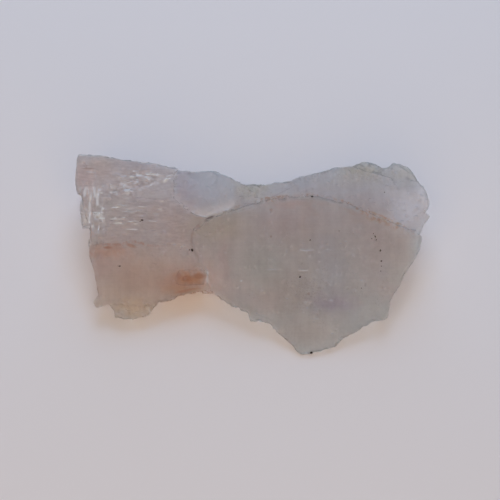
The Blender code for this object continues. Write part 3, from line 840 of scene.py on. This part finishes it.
crowding = {
    "bare": (2.6 * mm, 3.0, 0.6),  # noise that leaves bare patches between the crystals
    "fade": (1.1, 0.5),  # shares of the reach between which they get dense
    "level": 0.8,  # they grow only where the surface looks up this much
    "seeds": {"growth": 0, "sparkles": 100, "curds": 500},
    "seedStep": 10,
}


def newTree(name, numbers=(), vectors=()):  # a Geometry Nodes tree with named inputs
    tree = bpy.data.node_groups.new(name, "GeometryNodeTree")
    face = tree.interface
    face.new_socket(name="Geometry", in_out="OUTPUT", socket_type="NodeSocketGeometry")
    face.new_socket(name="Geometry", in_out="INPUT", socket_type="NodeSocketGeometry")
    for title in numbers:
        face.new_socket(name=title, in_out="INPUT", socket_type="NodeSocketFloat")
    for title in vectors:
        face.new_socket(name=title, in_out="INPUT", socket_type="NodeSocketVector")
    face.new_socket(name="Finish", in_out="INPUT", socket_type="NodeSocketMaterial")
    graph = Graph(tree)
    return graph, graph.add("NodeGroupInput", output="Geometry")


def endTree(graph, given, solid):  # the finish goes on last
    values = {"Geometry": solid, "Material": given.out("Finish")}
    done = graph.add("GeometryNodeSetMaterial", {}, values)
    graph.add("NodeGroupOutput", {}, {0: done})
    return graph.tree


def growthTree(name, seed, joined):
    numbers = ("Across", "Up", "Reach Across", "Reach Up", "Density", "Patchy", "Tilt", "Wander")
    graph, given = newTree(name, numbers, ("Smallest", "Largest"))
    place = graph.add("GeometryNodeInputPosition")
    across = (graph.dot(place, (1, 0, 0)) - given.out("Across")) / given.out("Reach Across")
    up = (graph.dot(place, tuple(upFrame)) - given.out("Up")) / given.out("Reach Up")
    far = (across * across + up * up) ** 0.5
    bare = graph.noise(place, *crowding["bare"]) - 0.5
    amount = graph.ease(far + bare * given.out("Patchy") * 2.0, *crowding["fade"])
    facing = graph.dot(graph.add("GeometryNodeInputNormal"), (0, 0, 1))
    points = graph.add(
        "GeometryNodeDistributePointsOnFaces",
        {"distribute_method": "RANDOM"},
        {
            "Mesh": given,
            "Selection": facing > crowding["level"],
            "Density": amount * given.out("Density"),
            "Seed": seed,
        },
    )
    size = graph.randomVector(given.out("Smallest"), given.out("Largest"), seed + 1)
    swing = graph.randomVector((-1, -1, -1), (1, 1, 1), seed + 2)
    swing = graph.scaled(swing, given.out("Wander"))
    slope = graph.add("ShaderNodeCombineXYZ", {}, {"X": given.out("Tilt")})
    lath = graph.add("GeometryNodeMeshCube", {}, {"Size": (1, 1, 1)}, "Mesh")
    turned = graph.vector("ADD", slope, swing)
    values = {"Points": points, "Instance": lath, "Rotation": turned, "Scale": size}
    crowd = graph.add("GeometryNodeInstanceOnPoints", {}, values)
    solid = graph.add("GeometryNodeRealizeInstances", {}, {0: crowd})
    if joined:  # the crystals stay with the surface that they grow on
        both = graph.add("GeometryNodeJoinGeometry", {}, {0: given})
        graph.tree.links.new(solid.socket, both.node.inputs[0])
        solid = both
    return endTree(graph, given, solid)


def addTree(obj, tree, values):  # a Geometry Nodes modifier with its inputs set
    modifier = obj.modifiers.new(tree.name, "NODES")
    modifier.node_group = tree
    for item in tree.interface.items_tree:
        if item.in_out == "INPUT" and item.name in values:
            modifier[item.identifier] = values[item.name]


def growOn(obj, patch, name, seed, finish, joined):
    values = {
        "Across": frameX(patch["centre"][0]),
        "Up": frameV(patch["centre"][1]),
        "Reach Across": patch["reach"][0] * view["pixel"],
        "Reach Up": patch["reach"][1] * view["pixel"],
        "Density": patch["perSquare"] / mm**2,
        "Patchy": patch["patchy"],
        "Tilt": math.radians(patch["tilt"]),
        "Wander": math.radians(patch["wander"]),
        "Smallest": [size * mm for size in patch["low"]],
        "Largest": [size * mm for size in patch["high"]],
        "Finish": finish,
    }
    addTree(obj, growthTree(name, seed, joined), values)


weather = {
    "merge": 0.002 * mm,
    "voxel": 0.2 * mm,
    "triangles": 190000,
    "steep": (0.35, 0.65),  # a face is steep where it looks up less than this
    "swell": {"noise": (3.0 * mm, 2.0), "height": 0.12 * mm},
    "frost": {"noise": (0.7 * mm, 3.0, 0.6), "height": 0.15 * mm},
    "rough": {"noise": (1.4 * mm, 3.0, 0.6), "height": 0.6 * mm},  # on steep faces alone
    "teeth": {"size": (1.1, 1.6, 3.0), "height": 0.4 * mm},  # also, size in millimetres
}


def weatherTree():
    graph, given = newTree("weather")
    place = graph.add("GeometryNodeInputPosition")
    normal = graph.add("GeometryNodeInputNormal")
    level = graph.add("ShaderNodeSeparateXYZ", {}, {0: normal}, "Z")
    steep = 1 - graph.ease(level, *weather["steep"])
    swell = graph.noise(place, *weather["swell"]["noise"]) - 0.5
    frost = graph.noise(place, *weather["frost"]["noise"]) - 0.5
    rough = graph.noise(place, *weather["rough"]["noise"]) - 0.5
    teeth = graph.vector("MULTIPLY", place, [1 / size for size in weather["teeth"]["size"]])
    teeth = graph.cells(graph.scaled(teeth, 1 / mm), (1, 1, 1)) - 0.5
    rise = swell * weather["swell"]["height"] + frost * weather["frost"]["height"]
    broken = rough * weather["rough"]["height"] + teeth * weather["teeth"]["height"]
    rise = rise + broken * steep
    shifted = graph.vector("ADD", place, graph.scaled(normal, rise))
    shifted = graph.vector("MAXIMUM", shifted, (-1, -1, 0))  # nothing sinks into the table
    shifted = graph.vector("MINIMUM", shifted, (1, 1, cadBox[1][2]))
    moved = graph.add("GeometryNodeSetPosition", {}, {"Geometry": given, "Position": shifted})
    return endTree(graph, given, graph.add("GeometryNodeRealizeInstances", {}, {0: moved}))


def flattened(obj, name):  # the evaluated object as a plain mesh of its own
    graph = bpy.context.evaluated_depsgraph_get()
    data = bpy.data.meshes.new_from_object(obj.evaluated_get(graph), depsgraph=graph)
    data.name = name
    solid = placed(name, data)
    bpy.data.objects.remove(obj)
    return solid


def makeCrystal(finish):
    data = nodeMesh.copy()
    merged = bmesh.new()
    merged.from_mesh(data)
    bmesh.ops.remove_doubles(merged, verts=merged.verts, dist=weather["merge"])
    merged.to_mesh(data)
    merged.free()
    draft = placed("draft", data)
    for index, (name, patch) in enumerate(growth.items()):
        seed = crowding["seeds"]["growth"] + crowding["seedStep"] * index
        growOn(draft, patch, name, seed, finish, True)
    for index, (column, row, across, up) in enumerate(curds["patches"]):
        patch = {"centre": (column, row), "reach": (across, up), **curds["kind"]}
        seed = crowding["seeds"]["curds"] + crowding["seedStep"] * index
        growOn(draft, patch, "curds", seed, finish, True)
    skin = draft.modifiers.new("skin", "REMESH")
    skin.mode = "VOXEL"
    skin.voxel_size = weather["voxel"]
    addTree(draft, weatherTree(), {"Finish": finish})
    dense = flattened(draft, "dense")
    faces = len(dense.data.polygons)
    thin = dense.modifiers.new("thin", "DECIMATE")
    thin.ratio = min(1.0, weather["triangles"] / (2 * faces))
    solid = flattened(dense, "crystal")
    solid.data.shade_smooth()
    print("crystal:", faces, "quads, then", len(solid.data.polygons), "faces")
    return solid


def makeSteps(crystal, finish):
    merged = bmesh.new()
    for index, (name, patch) in enumerate(sparkles.items()):
        draft = placed("draft", crystal.data)
        seed = crowding["seeds"]["sparkles"] + crowding["seedStep"] * index
        growOn(draft, patch, name, seed, finish, False)
        part = flattened(draft, name)
        merged.from_mesh(part.data)
        bpy.data.objects.remove(part)
    data = bpy.data.meshes.new("steps")
    merged.to_mesh(data)
    merged.free()
    data.materials.append(finish)
    print("steps:", len(data.polygons), "faces")
    return placed("steps", data)


grains = {  # dark mineral grains: frame column, row and radius in millimetres
    "rows": [(312, 197, 0.34), (142, 220, 0.32), (140, 221.5, 0.12), (192, 250, 0.34)]
    + [(189.5, 250, 0.14), (120, 266, 0.19), (118.5, 266, 0.12), (380, 251, 0.34)]
    + [(381, 261, 0.22), (381, 266, 0.15), (380.5, 271, 0.17), (375, 236.5, 0.26)]
    + [(373, 233.5, 0.15), (371.5, 238.5, 0.14), (376.5, 240, 0.15), (310, 240, 0.2)]
    + [(300, 277, 0.26), (339, 231, 0.12), (361, 288, 0.12), (385, 192, 0.12)]
    + [(311, 352.0, 0.42)],  # the last at the front tip
    "sunk": 0.35,  # share of the radius under the surface
    "above": 0.2,  # how far over the stone the search for its surface starts
    "smallest": (0.7, 0.7, 0.5),  # shares of the radius
    "largest": (1.3, 1.1, 0.9),
    "lean": 0.5,
    "dent": 0.22 * mm,
    "seed": 7,
    "colour": (0.035, 0.028, 0.024),
    "speckle": (0.2 * mm, 2.0, 0.6),
    "speckleTone": (0.3, 0.7, 0.6, 1.6),
    "roughness": 0.65,
}


def makeGrainFinish():
    material, graph = newMaterial("dark grain")
    place = graph.add("ShaderNodeTexCoord", output="Object")
    speckle = graph.noise(place, *grains["speckle"])
    colour = graph.scaled(grains["colour"], graph.ease(speckle, *grains["speckleTone"]))
    values = {"Base Color": colour, "Roughness": grains["roughness"]}
    shader = graph.add("ShaderNodeBsdfPrincipled", {}, values)
    graph.add("ShaderNodeOutputMaterial", {}, {"Surface": shader})
    return material


def grainTree():
    graph, given = newTree("grains")
    settings = {"data_type": "FLOAT"}
    radius = graph.add("GeometryNodeInputNamedAttribute", settings, {"Name": "radius"})
    ball = graph.add("GeometryNodeMeshIcoSphere", {}, {"Radius": 1.0, "Subdivisions": 2})
    shape = graph.randomVector(grains["smallest"], grains["largest"], grains["seed"])
    lean = grains["lean"]
    turn = graph.randomVector((-lean, -lean, 0), (lean, lean, math.tau), grains["seed"] + 1)
    values = {"Points": given, "Instance": ball, "Rotation": turn}
    values["Scale"] = graph.scaled(shape, radius)
    crowd = graph.add("GeometryNodeInstanceOnPoints", {}, values)
    whole = graph.add("GeometryNodeRealizeInstances", {}, {0: crowd})
    place = graph.add("GeometryNodeInputPosition")
    dent = graph.noise(place, grains["dent"], 2.0, 0.6, output="Color")
    dent = graph.scaled(graph.vector("SUBTRACT", dent, (0.5, 0.5, 0.5)), grains["dent"])
    dented = graph.add("GeometryNodeSetPosition", {}, {"Geometry": whole, "Offset": dent})
    return endTree(graph, given, dented)


def makeGrains(crystal, finish):
    surface = BVHTree.FromObject(crystal, bpy.context.evaluated_depsgraph_get())
    spots = []
    sizes = []
    for column, row, radius in grains["rows"]:
        start = Vector((frameX(column), 0, 0)) + upFrame * frameV(row)
        start = start + towardsCamera * grains["above"]
        found = surface.ray_cast(start, -towardsCamera)[0]
        if found is None:
            continue
        spots.append(found - towardsCamera * radius * grains["sunk"] * mm)
        sizes.append(radius * mm)
    data = bpy.data.meshes.new("grains")
    data.from_pydata(spots, [], [])
    sized = data.attributes.new("radius", "FLOAT", "POINT")
    sized.data.foreach_set("value", sizes)
    draft = placed("draft", data)
    addTree(draft, grainTree(), {"Finish": finish})
    piece = flattened(draft, "grains")
    print("grains:", len(spots), "of", len(grains["rows"]))
    return piece


table = {
    "size": 3.0,
    "colour": (0.82, 0.79, 0.81),
    "roughness": 0.7,
}


def makeTable():
    material, graph = newMaterial("table")
    values = {"Base Color": table["colour"], "Roughness": table["roughness"]}
    shader = graph.add("ShaderNodeBsdfPrincipled", {}, values)
    graph.add("ShaderNodeOutputMaterial", {}, {"Surface": shader})
    bpy.ops.mesh.primitive_plane_add(size=table["size"])
    floor = bpy.context.object
    floor.name = "table"
    floor.data.materials.append(material)


lights = {
    "sky": (0.85, 0.86, 1.0),
    "skyStrength": 0.28,
    "lamps": {  # place, size, power and colour
        "key": ((0.02, 0.30, 0.55), 0.36, 1.2, (0.58, 0.77, 1.0)),
        "window": ((0.0, 0.62, 0.30), 0.45, 1.4, (0.50, 0.72, 1.0)),  # low, from behind
        "fill": ((-0.05, -0.38, 0.40), 0.6, 1.35, (1.0, 0.67, 0.26)),
    },
}


def makeLights():
    world = bpy.data.worlds.new("room")
    bpy.context.scene.world = world
    world.use_nodes = True
    background = world.node_tree.nodes["Background"]
    background.inputs["Color"].default_value = (*lights["sky"], 1.0)
    background.inputs["Strength"].default_value = lights["skyStrength"]
    for name, (place, size, power, colour) in lights["lamps"].items():
        data = bpy.data.lights.new(name, "AREA")
        data.size = size
        data.energy = power
        data.color = colour
        lamp = placed(name, data)
        lamp.location = place
        lamp.rotation_euler = (-Vector(place)).to_track_quat("-Z", "Y").to_euler()
    bpy.context.scene.view_settings.view_transform = "Standard"
    print("lights ready")


makeCamera()
finish = makeFluorite()
crystal = makeCrystal(finish)
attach(crystal, "root")
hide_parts("fluorite_crystal")
steps = makeSteps(crystal, makeStepFinish())
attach(steps, "root")
darkGrains = makeGrains(crystal, makeGrainFinish())
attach(darkGrains, "root")
makeTable()
makeLights()
